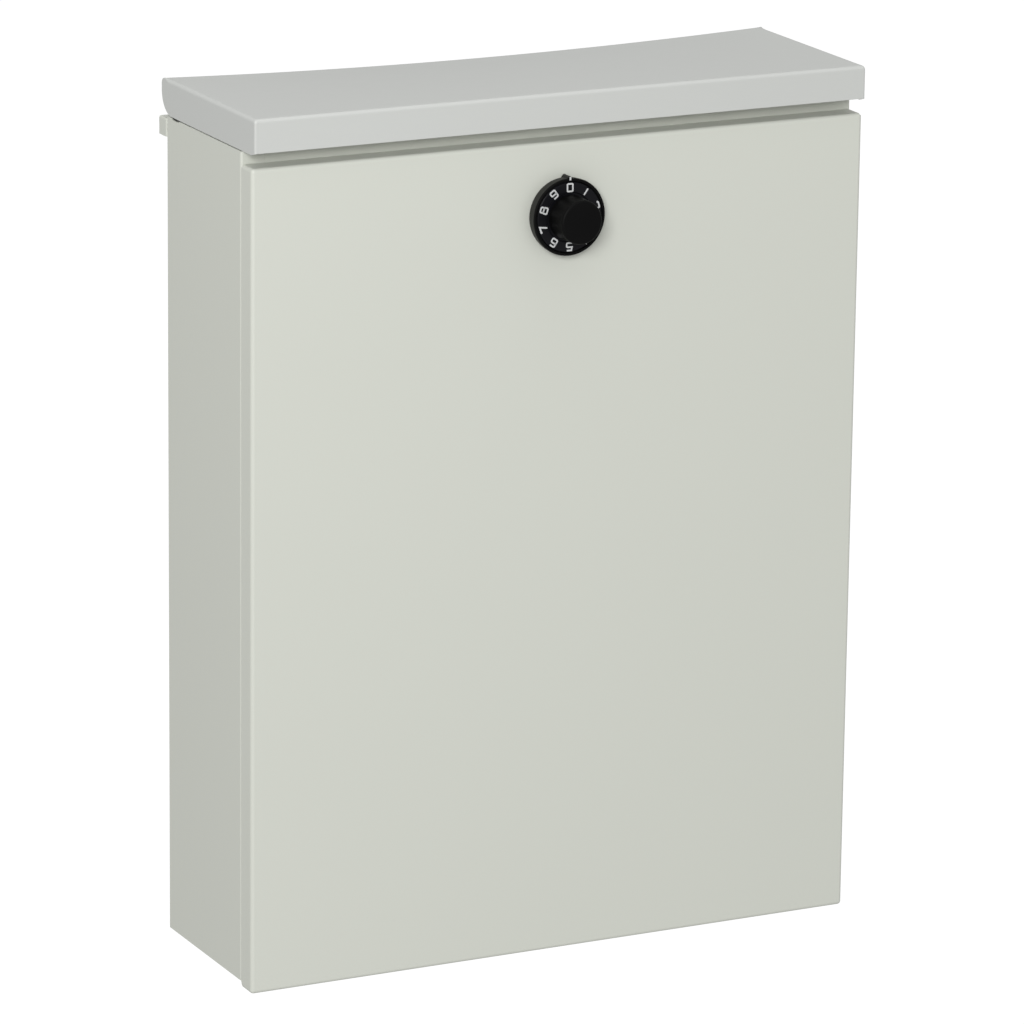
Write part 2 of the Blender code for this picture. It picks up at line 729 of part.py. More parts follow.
def make_bezel(plastic, axis):
    """The fixed ring around the dial, with the rib at its top that the numbers are read against."""
    profile = [
        (POST_HOLE, -GAP),
        (BEZEL_BASE_RADIUS, -GAP),
        (BEZEL_RADIUS, BEZEL_FRONT + BEZEL_EDGE),
        (BEZEL_RADIUS - BEZEL_EDGE / 2, BEZEL_FRONT),
        (BEZEL_BORE, BEZEL_FRONT),
        (BEZEL_BORE, BEZEL_FLOOR),
        (POST_HOLE, BEZEL_FLOOR),
    ]
    bezel = add_object("lock_bezel", turned_mesh(profile, (0, LOCK_Z), DIAL_ROUND), plastic, axis)
    bm = bmesh.new()
    root_height = LOCK_Z + BEZEL_BASE_RADIUS - INDEX_SUNK
    rings = []
    for y, peak in ((-INDEX_STEP, INDEX_RADIUS), (BEZEL_FRONT + INDEX_STEP, INDEX_RADIUS - INDEX_TIP)):
        ring = [bm.verts.new((-INDEX_FOOT, y, root_height)),
                bm.verts.new((INDEX_FOOT, y, root_height)),
                bm.verts.new((INDEX_TIP, y, LOCK_Z + peak)),
                bm.verts.new((-INDEX_TIP, y, LOCK_Z + peak))]
        rings.append(ring)
    bm.faces.new(rings[0])
    bm.faces.new(list(reversed(rings[1])))
    for index in range(4):
        after = (index + 1) % 4
        bm.faces.new((rings[0][index], rings[0][after], rings[1][after], rings[1][index]))
    join_mesh(bezel, bm, axis, "index")
    clear = tube_mesh(BEZEL_BORE, BEZEL_CORE, BEZEL_FRONT - PASS, BEZEL_FLOOR, (0, LOCK_Z), DIAL_ROUND)
    cut_mesh(bezel, clear, axis, "clearance")
    cut_holes(bezel, case_screw_places(), BEZEL_SCREW_HOLE, BEZEL_FLOOR - PASS, SHEET, axis)


def make_dial(plastic, steel, axis):
    back = BEZEL_FLOOR - GAP
    floor = DIAL_FRONT + GROOVE_DEPTH
    disc = [
        (SPINDLE_BORE, back),
        (DIAL_RADIUS, back),
        (DIAL_RADIUS, DIAL_FRONT + DIAL_EDGE),
        (DIAL_RADIUS - DIAL_EDGE, DIAL_FRONT),
        (GROOVE_RADIUS, DIAL_FRONT),
        (GROOVE_RADIUS - DIAL_EDGE, floor),
        (SPINDLE_BORE, floor),
    ]
    add_object("dial_disc", turned_mesh(disc, (0, LOCK_Z), DIAL_ROUND), plastic, axis)
    knob_back = floor - GAP
    knob = [(0, KNOB_FRONT + KNOB_DISH), (KNOB_RADIUS - 2.5 * KNOB_CROWN, KNOB_FRONT)]
    for step in range(0, 4):
        turn = math.radians(30 * step)
        knob.append((KNOB_RADIUS - KNOB_TAPER - KNOB_CROWN + KNOB_CROWN * math.sin(turn),
                     KNOB_FRONT + KNOB_CROWN - KNOB_CROWN * math.cos(turn)))
    knob += [
        (KNOB_RADIUS, knob_back),
        (SPINDLE_BORE, knob_back),
        (SPINDLE_BORE, KNOB_FRONT + KNOB_WALL),
        (0, KNOB_FRONT + KNOB_WALL),
    ]
    add_object("dial_knob", turned_mesh(knob, (0, LOCK_Z), 40), plastic, axis)
    spindle_front = KNOB_FRONT + KNOB_WALL + GAP
    spindle = rod_mesh(SPINDLE_RADIUS, spindle_front, SPINDLE_BACK, (0, LOCK_Z), 20)
    add_object("spindle", spindle, steel, axis)
    cam = tube_mesh(WHEEL_RADIUS, SPINDLE_BORE, CAM_FRONT, CAM_FRONT + CAM_THICKNESS, (0, LOCK_Z))
    drive = add_object("drive_cam", cam, steel, axis)
    cut_gate(drive, CAM_FRONT, CAM_FRONT + CAM_THICKNESS, axis)
    join_mesh(drive, fly_mesh(CAM_FRONT, -1, 7), axis, "fly")


# ------------------------------------------------------------------ lock

def cut_gate(wheel, front, back, axis):
    """The notch in a wheel's rim that the fence drops into."""
    low = (-GATE_HALF, front - PASS / 2, LOCK_Z + WHEEL_RADIUS - GATE_DEPTH)
    high = (GATE_HALF, back + PASS / 2, LOCK_Z + WHEEL_RADIUS + PASS)
    cut_box(wheel, low, high, axis)


def fly_mesh(face, way, place):
    """A small tab on a wheel's face, by which one wheel picks up the next; place counts 15 degree steps."""
    turn = math.radians(180 + 15 * place)
    middle = face + way * (FLY_HEIGHT / 2 - FLY_SUNK)
    matrix = Matrix.Translation((FLY_ORBIT * math.sin(turn), middle, LOCK_Z + FLY_ORBIT * math.cos(turn)))
    size = Matrix.Diagonal((FLY_SIZE, FLY_HEIGHT + 2 * FLY_SUNK, FLY_SIZE, 1.0))
    bm = bmesh.new()
    bmesh.ops.create_cube(bm, size=1.0, matrix=matrix @ Matrix.Rotation(turn, 4, "Y") @ size)
    return bm


def make_code_wheels(brass, steel, axes, door_axis):
    for number, axis in enumerate(axes, start=1):
        front = WHEEL_FIRST + (number - 1) * WHEEL_PITCH
        back = front + WHEEL_THICKNESS
        disc = tube_mesh(WHEEL_RADIUS, POST_HOLE, front, back, (0, LOCK_Z))
        wheel = add_object("code_wheel_%d" % number, disc, brass, axis)
        cut_gate(wheel, front, back, axis)
        join_mesh(wheel, fly_mesh(back, 1, 2 * number), axis, "rear_fly")
        if number > 1:
            join_mesh(wheel, fly_mesh(front, -1, 2 * number - 1), axis, "front_fly")
    for number in (1, 2):
        start = WHEEL_FIRST + (number - 1) * WHEEL_PITCH + WHEEL_THICKNESS + GAP
        end = start + WHEEL_PITCH - WHEEL_THICKNESS - 2 * GAP
        ring = tube_mesh(SPACER_RADIUS, POST_HOLE, start, end, (0, LOCK_Z))
        add_object("wheel_spacer_%d" % number, ring, steel, door_axis)
    post = tube_mesh(POST_RADIUS, SPINDLE_BORE, CASE_FRONT, CAM_FRONT - GAP, (0, LOCK_Z), PIN_ROUND)
    add_object("wheel_post", post, steel, door_axis)


def make_bolt(steel, axis):
    """A flat bolt that slides up behind the header; its fence lies across the rims of the wheels."""
    bm = box_mesh((-BOLT_HALF, BOLT_FRONT, BOLT_BOTTOM), (BOLT_HALF, BOLT_BACK, BOLT_TOP))
    bolt = add_object("lock_bolt", bm, steel, axis)
    fence = box_mesh((-FENCE_HALF, WHEEL_FIRST, FENCE_BOTTOM), (FENCE_HALF, BOLT_FRONT + PASS / 4, FENCE_TOP))
    join_mesh(bolt, fence, axis, "fence")


def cover_screw_places():
    return [(x * COVER_SCREW_OFFSET, LOCK_Z + z * COVER_SCREW_OFFSET) for x in (-1, 1) for z in (-1, 1)]


def make_lock_case(metal, axis):
    """A cast box, open behind, with four screw bosses and a slot in its roof for the bolt."""
    low = (-CASE_HALF, CASE_FRONT, LOCK_Z - CASE_HALF)
    high = (CASE_HALF, CASE_BACK, LOCK_Z + CASE_HALF)
    case = add_object("lock_case", box_mesh(low, high), metal, axis)
    inner = CASE_HALF - CASE_WALL
    hollow_low = (-inner, CASE_FRONT + CASE_WALL, LOCK_Z - inner)
    hollow_high = (inner, CASE_BACK + PASS, LOCK_Z + inner)
    cut_box(case, hollow_low, hollow_high, axis)
    bosses = bmesh.new()
    for x, z in cover_screw_places():
        box_mesh((x - BOSS_HALF, CASE_FRONT + BOSS_INSET, z - BOSS_HALF),
                 (x + BOSS_HALF, CASE_BACK, z + BOSS_HALF), bosses)
    join_mesh(case, bosses, axis, "bosses")
    thread = CASE_BACK - COVER_SCREW_LENGTH
    front = CASE_FRONT - PASS / 2
    inside = CASE_FRONT + CASE_WALL + PASS / 2
    cut_holes(case, cover_screw_places(), COVER_SCREW_HOLE, thread, CASE_BACK + PASS / 2, axis)
    cut_holes(case, [(0, LOCK_Z)], POST_HOLE, front, inside, axis, "post_drill", PIN_ROUND)
    cut_holes(case, case_screw_places(), CASE_SCREW_HOLE, front, inside, axis, "screw_drill")
    slot_low = (-BOLT_HALF - GAP, BOLT_FRONT - GAP, LOCK_Z + inner - PASS / 2)
    slot_high = (BOLT_HALF + GAP, CASE_BACK + PASS / 2, LOCK_Z + CASE_HALF + PASS / 2)
    cut_box(case, slot_low, slot_high, axis, "slot")


def make_lock_cover(metal, steel, axis):
    front = CASE_BACK + GAP
    back = front + COVER_THICKNESS
    low = (-CASE_HALF, front, LOCK_Z - CASE_HALF)
    high = (CASE_HALF, back, LOCK_Z + CASE_HALF)
    cover = add_object("lock_cover", box_mesh(low, high), metal, axis)
    cut_holes(cover, cover_screw_places(), COVER_SCREW_HOLE, front - PASS, back + PASS, axis)
    for number, place in enumerate(cover_screw_places(), start=1):
        bm = screw_mesh(LOCK_SCREW_HEAD, LOCK_SCREW_HEAD_HEIGHT, COVER_SCREW_SHANK, COVER_SCREW_LENGTH,
                        back + GAP, place, -1)
        add_object("cover_screw_%d" % number, bm, steel, axis)


def make_case_screws(steel, axis):
    """Two screws hold the case and the bezel together through the door."""
    head = CASE_FRONT + CASE_WALL + GAP
    length = head - BEZEL_FLOOR - GAP
    for number, place in enumerate(case_screw_places(), start=1):
        bm = screw_mesh(LOCK_SCREW_HEAD, LOCK_SCREW_HEAD_HEIGHT, CASE_SCREW_SHANK, length, head, place, -1)
        add_object("case_screw_%d" % number, bm, steel, axis)


# ------------------------------------------------------------------ assembly

def main():
    clear_scene()
    paint = make_material("powder_coat", (0.62, 0.63, 0.58), 0.45, 0.0)
    steel = make_material("zinc_plated_steel", (0.55, 0.56, 0.58), 0.35, 1.0)
    casting = make_material("lock_casting", (0.40, 0.41, 0.42), 0.45, 0.9)
    plastic = make_material("black_plastic", (0.012, 0.012, 0.014), 0.38, 0.0)
    brass = make_material("brass", (0.66, 0.50, 0.24), 0.35, 1.0)
    rubber = make_material("grey_rubber", (0.08, 0.08, 0.085), 0.85, 0.0)

    root = bpy.data.objects.new("datum", None)
    bpy.context.scene.collection.objects.link(root)
    root["datum_place"] = (0.0, 0.0, 0.0)
    root.location = (0.0, -WALL_PLANE, -RAIL_MIDDLE)
    lid_axis = make_axis("lid_axis", root, (0.0, LID_PIVOT_Y, LID_PIVOT_Z))
    door_axis = make_axis("door_axis", root, (0.0, HINGE_Y, HINGE_Z))
    dial_axis = make_axis("dial_axis", door_axis, (0.0, 0.0, LOCK_Z))
    bolt_axis = make_axis("bolt_axis", door_axis, (0.0, BOLT_FRONT, BOLT_BOTTOM))
    wheel_axes = [make_axis("wheel_axis_%d" % number, door_axis, (0.0, WHEEL_FIRST, LOCK_Z))
                  for number in (1, 2, 3)]

    make_side_panels(paint, root)
    back_face = make_back_panel(paint, root)
    make_bottom_panel(paint, root, back_face)
    make_top_panel(paint, root, back_face)
    make_drop_baffle(paint, root)
    make_front_header(paint, root)
    make_hanging_rail(paint, root)
    make_wall_bumpers(rubber, root, back_face + SHEET)
    make_floor_mat(rubber, root, back_face)
    rail_front = make_key_rails(steel, root, back_face)
    make_rail_screws(steel, root, rail_front)
    make_lid_shell(paint, lid_axis)
    make_lid_pivots(steel, root, lid_axis)
    make_lid_bumpers(rubber, root)
    make_door_panel(paint, door_axis)
    make_door_hinge(steel, root, door_axis)
    make_bezel(plastic, door_axis)
    make_dial(plastic, steel, dial_axis)
    make_code_wheels(brass, steel, wheel_axes, door_axis)
    make_bolt(steel, bolt_axis)
    make_lock_case(casting, door_axis)
    make_lock_cover(casting, steel, door_axis)
    make_case_screws(steel, door_axis)


main()
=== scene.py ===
"""Looks of the wall key cabinet: painted folded steel, a moulded black dial lock and plated hardware.

Everything is in metres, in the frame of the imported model. Most shapes are drawn in the door's
datum, whose zero is the middle of the door's lower front edge, with +Y running into the wall.
"""

import json
import math

import bmesh
import bpy
from mathutils import Matrix, Vector


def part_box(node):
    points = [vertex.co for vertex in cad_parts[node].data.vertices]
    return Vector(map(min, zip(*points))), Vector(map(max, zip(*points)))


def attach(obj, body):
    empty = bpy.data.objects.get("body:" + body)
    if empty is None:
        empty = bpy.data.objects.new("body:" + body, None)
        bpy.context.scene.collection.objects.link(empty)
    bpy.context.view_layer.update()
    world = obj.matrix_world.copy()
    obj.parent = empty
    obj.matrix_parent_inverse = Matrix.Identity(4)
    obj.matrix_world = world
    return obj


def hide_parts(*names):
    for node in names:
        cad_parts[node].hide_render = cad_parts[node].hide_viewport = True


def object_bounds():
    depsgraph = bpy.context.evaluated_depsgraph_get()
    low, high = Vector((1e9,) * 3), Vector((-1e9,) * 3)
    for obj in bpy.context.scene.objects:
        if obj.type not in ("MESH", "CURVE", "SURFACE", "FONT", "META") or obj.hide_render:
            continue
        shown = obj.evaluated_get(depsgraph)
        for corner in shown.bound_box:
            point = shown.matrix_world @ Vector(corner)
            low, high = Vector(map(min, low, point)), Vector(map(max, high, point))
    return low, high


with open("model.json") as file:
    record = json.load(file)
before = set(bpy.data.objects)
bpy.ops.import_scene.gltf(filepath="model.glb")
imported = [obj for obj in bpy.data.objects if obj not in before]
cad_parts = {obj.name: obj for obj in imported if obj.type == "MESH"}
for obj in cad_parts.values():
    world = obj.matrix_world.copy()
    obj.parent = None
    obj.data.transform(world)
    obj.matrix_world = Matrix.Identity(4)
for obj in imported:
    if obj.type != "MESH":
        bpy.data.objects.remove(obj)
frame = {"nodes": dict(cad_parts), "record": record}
cad_low, cad_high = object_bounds()

# ------------------------------------------------------------------ places, from the nodes' boxes

DOOR_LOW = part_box("door_panel")[0]
DATUM = Vector((0.0, DOOR_LOW.y, DOOR_LOW.z))


def datum_box(node):
    low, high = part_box(node)
    return low - DATUM, high - DATUM


door_low, door_high = datum_box("door_panel")
lid_low, lid_high = datum_box("lid_shell")
side_low, side_high = datum_box("side_panel_right")
header_low, header_high = datum_box("front_header")
hang_low, hang_high = datum_box("hanging_rail")
bezel_low = datum_box("lock_bezel")[0]
dial_low, dial_high = datum_box("dial_disc")
knob_low, knob_high = datum_box("dial_knob")
pin_low, pin_high = datum_box("lid_pivot_pin_right")

HALF = door_high.x
LOCK_Z = (dial_low.z + dial_high.z) / 2
PIVOT_Y = (pin_low.y + pin_high.y) / 2
PIVOT_Z = (pin_low.z + pin_high.z) / 2

# Sheet metal; a cutter reaches past what it cuts
SHEET = 0.0010
BEND = 0.0018
TIGHT_BEND = 0.0012
RAIL_BEND = 0.0011
BEND_STEPS = 8
FOLD_ANGLE = 0.5
EDGE_ROUND = 0.00015
GAP = 0.0003
REACH = 0.004

# Door
CORNER_NOTCH = 0.0011
TOE_CUT = 0.0034
TOE_SLANT = 0.0012
TOE_LEVEL = 0.0006
TOE_WIDTH = 0.0016
DOOR_LIP = 0.0082
LIP_ENDS = 0.002
POST_HOLE = 0.0041
SCREW_HOLE = 0.0017
SCREW_OFFSET = 0.015

# Relief in the top edge of each side panel, below the lid's pivot
RELIEF_Y = 0.0885
RELIEF_REACH = 0.0050
RELIEF_DEPTH = 0.0007

# Lid
LID_SAG = 0.0034
LID_BACK = 0.1018
LIP_BOTTOM = 0.4077
LID_CORNER = 0.00105
LID_COLUMNS = 40
LID_ROWS = 20
CHEEK_RADIUS = 0.0112
CHEEK_CORNER = 0.0030
CHEEK_TOE = 0.004

# Bezel, with its index rib and mark
TURN_STEPS = 160
BEZEL_BASE = 0.0179
BEZEL_RIM = 0.0187
BEZEL_BORE = 0.0172
BEZEL_CORE = 0.0100
BEZEL_FLOOR = -0.0015
BEZEL_EDGE = 0.0009
FACE_DEPTH = 0.0006
MOULD_ROUND = 0.00018
RIB_FOOT = 0.0023
RIB_SUNK = 0.0012
RIB_SHOULDER = 0.0192
RIB_SHOULDER_HALF = 0.0009
RIB_TIP = 0.0195
RIB_TIP_HALF = 0.0004
RIB_NARROWING = 120
MARK_INNER = 0.0177
MARK_OUTER = 0.0193
MARK_WIDTH = 0.00090

# Dial, its numbers and knob
DIAL_RADIUS = 0.0169
DIAL_EDGE = 0.0004
GROOVE_RADIUS = 0.0120
GROOVE_DEPTH = 0.0006
SPINDLE_BORE = 0.0028
DIGIT_HALF = 0.0018
DIGIT_LOW = 0.0121
DIGIT_HIGH = 0.0163
DIGIT_STROKE = 0.00078
DIGIT_ASPECT = 0.78
DIGIT_MARGIN = 0.075
FILL_RAISED = 0.00003
FILL_THICKNESS = 0.0001
KNOB_RIM = 0.0108
KNOB_CROWN = 0.0013
KNOB_TAPER = 0.0002
KNOB_WALL = 0.003


# ------------------------------------------------------------------ materials

class Nodes:
    """A short way to write a procedural material."""

    def __init__(self, name):
        self.material = bpy.data.materials.new(name)
        self.material.use_nodes = True
        self.tree = self.material.node_tree
        self.shader = self.tree.nodes["Principled BSDF"]
        self.place = self.add("ShaderNodeTexCoord").outputs["Object"]

    def add(self, kind, inputs=None, **settings):
        node = self.tree.nodes.new(kind)
        for key, value in settings.items():
            setattr(node, key, value)
        for key, value in (inputs or {}).items():
            self.feed(value, node.inputs[key])
        return node

    def feed(self, value, socket):
        if isinstance(value, bpy.types.NodeSocket):
            self.tree.links.new(value, socket)
        else:
            socket.default_value = value

    def noise(self, scale, detail=3.0, roughness=0.5, stretch=None):
        vector = self.place
        if stretch:
            vector = self.add("ShaderNodeMapping", {"Vector": vector, "Scale": stretch}).outputs["Vector"]
        inputs = {"Vector": vector, "Scale": scale, "Detail": detail, "Roughness": roughness}
        return self.add("ShaderNodeTexNoise", inputs).outputs["Fac"]

    def span(self, value, low, high, start=0.0, end=1.0):
        inputs = {"Value": value, "From Min": start, "From Max": end, "To Min": low, "To Max": high}
        return self.add("ShaderNodeMapRange", inputs).outputs["Result"]

    def mix(self, factor, first, second):
        node = self.add("ShaderNodeMix", data_type="RGBA")
        self.feed(factor, node.inputs["Factor"])
        self.feed(first, node.inputs[6])
        self.feed(second, node.inputs[7])
        return node.outputs[2]

    def maths(self, operation, first, second):
        return self.add("ShaderNodeMath", {0: first, 1: second}, operation=operation).outputs[0]

    def bump(self, height, strength, distance, normal=None):
        inputs = {"Height": height, "Strength": strength, "Distance": distance}
        if normal is not None:
            inputs["Normal"] = normal
        return self.add("ShaderNodeBump", inputs).outputs["Normal"]

    def link(self, value, socket):
        self.tree.links.new(value, self.shader.inputs[socket])

    def set(self, **values):
        for name, value in values.items():
            self.shader.inputs[name.replace("_", " ")].default_value = value


def tone(colour, factor=1.0):
    return (*[value * factor for value in colour], 1.0)


def powder_coat(name, tint):
    """Smooth semi-matt powder coat: faint orange peel, soft cloudy variation in gloss, fine dust."""
    nodes = Nodes(name)
    cloud = nodes.noise(9.0, 2.0)
    fine = nodes.noise(140.0, 3.0)
    base = nodes.mix(nodes.span(cloud, 0.35, 0.65), tone(tint, 0.985), tone(tint, 1.015))
    speck = nodes.add("ShaderNodeTexVoronoi", {"Vector": nodes.place, "Scale": 260.0}).outputs["Distance"]
    base = nodes.mix(nodes.span(speck, 0.30, 0.0, 0.03, 0.09), base, tone(tint, 0.90))
    nodes.link(base, "Base Color")
    gloss = nodes.maths("ADD", cloud, nodes.span(fine, -0.2, 0.2))
    nodes.link(nodes.span(gloss, 0.42, 0.54, 0.2, 0.8), "Roughness")
    peel = nodes.bump(nodes.noise(380.0, 1.5), 0.10, 0.0002)
    nodes.link(nodes.bump(nodes.noise(2600.0, 2.0), 0.05, 0.00005, peel), "Normal")
    nodes.set(Metallic=0.0, IOR=1.5, Specular_IOR_Level=0.45, Coat_Weight=0.05, Coat_Roughness=0.3)
    return nodes.material


def black_plastic(name, base, rough, shine=0.5, wall=None, grain_strength=0.12):
    """Moulded ABS: near black, with a fine moulded grain and slightly cloudy gloss.

    A wall is (level, colour): behind that level along Y the plastic takes that colour, which is painted light
    on the side walls of a black part.
    """
    nodes = Nodes(name)
    cloud = nodes.noise(60.0, 3.0)
    colour = nodes.mix(cloud, tone(base), tone(base, 1.5))
    # Painted light: behind the wall level the black turns a lighter grey.
    if wall:
        along = nodes.add("ShaderNodeSeparateXYZ", {"Vector": nodes.place}).outputs["Y"]
        behind = nodes.span(along, 0.0, 1.0, wall[0], wall[0] + 0.0003)
        colour = nodes.mix(behind, colour, nodes.mix(cloud, tone(wall[1], 0.85), tone(wall[1], 1.15)))
    nodes.link(colour, "Base Color")
    nodes.link(nodes.span(cloud, rough - 0.05, rough + 0.07, 0.3, 0.7), "Roughness")
    nodes.link(nodes.bump(nodes.noise(3200.0, 2.0), grain_strength, 0.00006), "Normal")
    nodes.set(IOR=1.5, Specular_IOR_Level=shine)
    return nodes.material


def white_fill(name, base):
    """Paint wiped into moulded marks: a little uneven."""
    nodes = Nodes(name)
    cloud = nodes.noise(900.0, 3.0)
    nodes.link(nodes.mix(cloud, tone(base, 0.9), tone(base, 1.08)), "Base Color")
    nodes.link(nodes.span(cloud, 0.45, 0.62), "Roughness")
    nodes.link(nodes.bump(cloud, 0.15, 0.00005), "Normal")
    return nodes.material


def plated_steel():
    """Zinc plating: a bluish grey with a faint drawn grain and cloudy gloss."""
    nodes = Nodes("zinc_plated_steel_finish")
    grain = nodes.noise(260.0, 4.0, 0.6, (0.06, 1.0, 1.0))
    cloud = nodes.noise(45.0, 3.0)
    nodes.link(nodes.mix(cloud, tone((0.46, 0.48, 0.51)), tone((0.62, 0.62, 0.60))), "Base Color")
    nodes.link(nodes.span(nodes.maths("MULTIPLY", grain, cloud), 0.26, 0.52, 0.1, 0.5), "Roughness")
    nodes.link(nodes.bump(grain, 0.12, 0.0001), "Normal")
    nodes.set(Metallic=1.0)
    return nodes.material


def cast_metal():
    """Die-cast zinc: fine matt grain with a few darker flow marks."""
    nodes = Nodes("lock_casting_finish")
    grain = nodes.noise(1500.0, 4.0)
    flow = nodes.noise(38.0, 4.0, 0.6, (1.0, 1.0, 0.4))
    shade = nodes.span(flow, 0.0, 1.0, 0.35, 0.7)
    nodes.link(nodes.mix(shade, tone((0.30, 0.31, 0.32)), tone((0.46, 0.46, 0.46))), "Base Color")
    nodes.link(nodes.span(grain, 0.42, 0.62), "Roughness")
    nodes.link(nodes.bump(grain, 0.22, 0.0001), "Normal")
    nodes.set(Metallic=0.9)
    return nodes.material


def turned_brass():
    nodes = Nodes("turned_brass_finish")
    grain = nodes.noise(900.0, 4.0)
    nodes.link(nodes.mix(grain, tone((0.58, 0.41, 0.17)), tone((0.74, 0.56, 0.28))), "Base Color")
    nodes.link(nodes.span(grain, 0.24, 0.42), "Roughness")
    nodes.link(nodes.bump(grain, 0.1, 0.00005), "Normal")
    nodes.set(Metallic=1.0)
    return nodes.material


def rubber():
    nodes = Nodes("grey_rubber_finish")
    grain = nodes.noise(1100.0, 3.0)
    bloom = nodes.span(nodes.noise(50.0, 3.0), 0.0, 1.0, 0.4, 0.75)
    nodes.link(nodes.mix(bloom, tone((0.035, 0.035, 0.037)), tone((0.075, 0.075, 0.077))), "Base Color")
    nodes.link(nodes.span(grain, 0.72, 0.92), "Roughness")
    nodes.link(nodes.bump(grain, 0.3, 0.0002), "Normal")
    return nodes.material


PAINT = (0.650, 0.667, 0.603)
# The lid takes the body's powder coat darkened and tinted cooler: painted shade for the weaker, cooler light
# that falls on it from above.
LID_SHADED_PAINT = (0.592, 0.605, 0.583)
FINISHES = {
    "powder_coat": powder_coat("powder_coat_finish", PAINT),
    "black_plastic": black_plastic("black_plastic_finish", (0.0042, 0.0042, 0.0056), 0.36, 0.16),
    "zinc_plated_steel": plated_steel(),
    "lock_casting": cast_metal(),
    "brass": turned_brass(),
    "grey_rubber": rubber(),
}
# The lid's coat carries that painted shade in its tint.
LID_SHADED_COAT = powder_coat("lid_powder_coat_painted_shade", LID_SHADED_PAINT)
# The bezel's side walls, behind its front face, are painted a lighter grey: painted light on the black ring's
# side.
BEZEL_SIDE_LIGHT = (DATUM.y + bezel_low.y + FACE_DEPTH, (0.022, 0.022, 0.020))
BEZEL_BLACK = black_plastic("bezel_black_plastic", (0.0016, 0.0016, 0.0016), 0.45, 0.10, BEZEL_SIDE_LIGHT)
KNOB_BLACK = black_plastic("knob_black_plastic", (0.0028, 0.0028, 0.0028), 0.46, 0.07)
WHITE = white_fill("dial_white_fill", (0.62, 0.63, 0.63))


# ------------------------------------------------------------------ mesh helpers

def mesh_object(name, bm, material, smooth=32):
    mesh = bpy.data.meshes.new(name)
    bm.to_mesh(mesh)
    bm.free()
    mesh.materials.append(material)
    mesh.shade_smooth()
    mesh.set_sharp_from_angle(angle=math.radians(smooth))
    piece = bpy.data.objects.new(name, mesh)
    bpy.context.scene.collection.objects.link(piece)
    return piece


def combine(piece, bm, operation):
    """Cuts a mesh from a piece, or joins it on, and keeps the result."""
    tool = mesh_object(piece.name + "_tool", bm, piece.data.materials[0])
    change = piece.modifiers.new("combine", "BOOLEAN")
    change.object = tool
    change.operation = operation
    change.solver = "EXACT"
    bake(piece)
    bpy.data.objects.remove(tool, do_unlink=True)


def bake(piece):
    """Replaces a piece's mesh by what its modifiers make of it."""
    graph = bpy.context.evaluated_depsgraph_get()
    mesh = bpy.data.meshes.new_from_object(piece.evaluated_get(graph))
    piece.modifiers.clear()
    piece.data = mesh


def place_piece(piece, body, nodes=(), smooth=32):
    """Moves a piece from the datum to its place, and hangs it on its body."""
    piece.data.transform(Matrix.Translation(DATUM))
    piece.data.shade_smooth()
    piece.data.set_sharp_from_angle(angle=math.radians(smooth))
    level_shading(piece)
    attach(piece, body)
    if nodes:
        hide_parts(*nodes)
    return piece


def level_shading(piece):
    """Keeps flat faces evenly shaded beside the rounds that meet them."""
    weighted = piece.modifiers.new("level_shading", "WEIGHTED_NORMAL")
    weighted.mode = "FACE_AREA"
    weighted.weight = 50
    weighted.keep_sharp = True


def soften(piece):
    """A small round along cut edges."""
    bevel = piece.modifiers.new("edge", "BEVEL")
    bevel.width = EDGE_ROUND
    bevel.segments = 2
    bevel.limit_method = "ANGLE"
    bevel.angle_limit = math.radians(50)
    bevel.harden_normals = False
    bake(piece)


def box_mesh(low, high):
    bm = bmesh.new()
    size = Vector(high) - Vector(low)
    matrix = Matrix.Translation((Vector(high) + Vector(low)) / 2) @ Matrix.Diagonal((*size, 1.0))
    bmesh.ops.create_cube(bm, size=1.0, matrix=matrix)
    return bm


def prism_mesh(outline, start, end):
    """A closed outline of (y, z) drawn out along X."""
    bm = bmesh.new()
    planes = [[bm.verts.new((x, y, z)) for y, z in outline] for x in (start, end)]
    bm.faces.new(planes[0])
    bm.faces.new(list(reversed(planes[1])))
    for index in range(len(outline)):
        after = (index + 1) % len(outline)
        bm.faces.new((planes[0][index], planes[0][after], planes[1][after], planes[1][index]))
    bmesh.ops.recalc_face_normals(bm, faces=bm.faces)
    return bm


def turned_mesh(profile, centre, steps=TURN_STEPS, bm=None):
    """A closed profile of (radius, place along Y) turned about an axis through centre (x, z)."""
    bm = bm or bmesh.new()
    rings = []
    for radius, along in profile:
        count = steps if radius > 0 else 1
        ring = []
        for step in range(count):
            turn = 2 * math.pi * step / steps
            ring.append(bm.verts.new((centre[0] + radius * math.cos(turn), along,
                                      centre[1] + radius * math.sin(turn))))
        rings.append(ring)
    pairs = len(rings) if profile[0][0] > 0 else len(rings) - 1
    for index in range(pairs):
        first = rings[index]
        second = rings[(index + 1) % len(rings)]
        for step in range(steps):
            corners = [first[step % len(first)], first[(step + 1) % len(first)],
                       second[(step + 1) % len(second)], second[step % len(second)]]
            bm.faces.new(list(dict.fromkeys(corners)))
    bmesh.ops.recalc_face_normals(bm, faces=bm.faces)
    return bm


def round_corner(points, radius, steps=6):
    """Rounds each corner of a closed or open profile by a small arc."""
    result = [points[0]]
    for before, corner, after in zip(points, points[1:], points[2:]):
        corner_v = Vector(corner)
        a = Vector(before) - corner_v
        b = Vector(after) - corner_v
        reach = min(radius, a.length * 0.45, b.length * 0.45)
        if a.angle(b, math.pi) > math.radians(165):
            result.append(corner)
            continue
        start = corner_v + a.normalized() * reach
        end = corner_v + b.normalized() * reach
        for step in range(steps + 1):
            t = step / steps
            point = start * (1 - t) ** 2 + corner_v * 2 * t * (1 - t) + end * t ** 2
            result.append((point.x, point.y))
    result.append(points[-1])
    return result


WALL_CORNERS = {
    "left": (0, 1, 3, 2),
    "right": (4, 6, 7, 5),
    "front": (0, 4, 5, 1),
    "back": (2, 3, 7, 6),
    "bottom": (0, 2, 6, 4),
    "top": (1, 5, 7, 3),
}


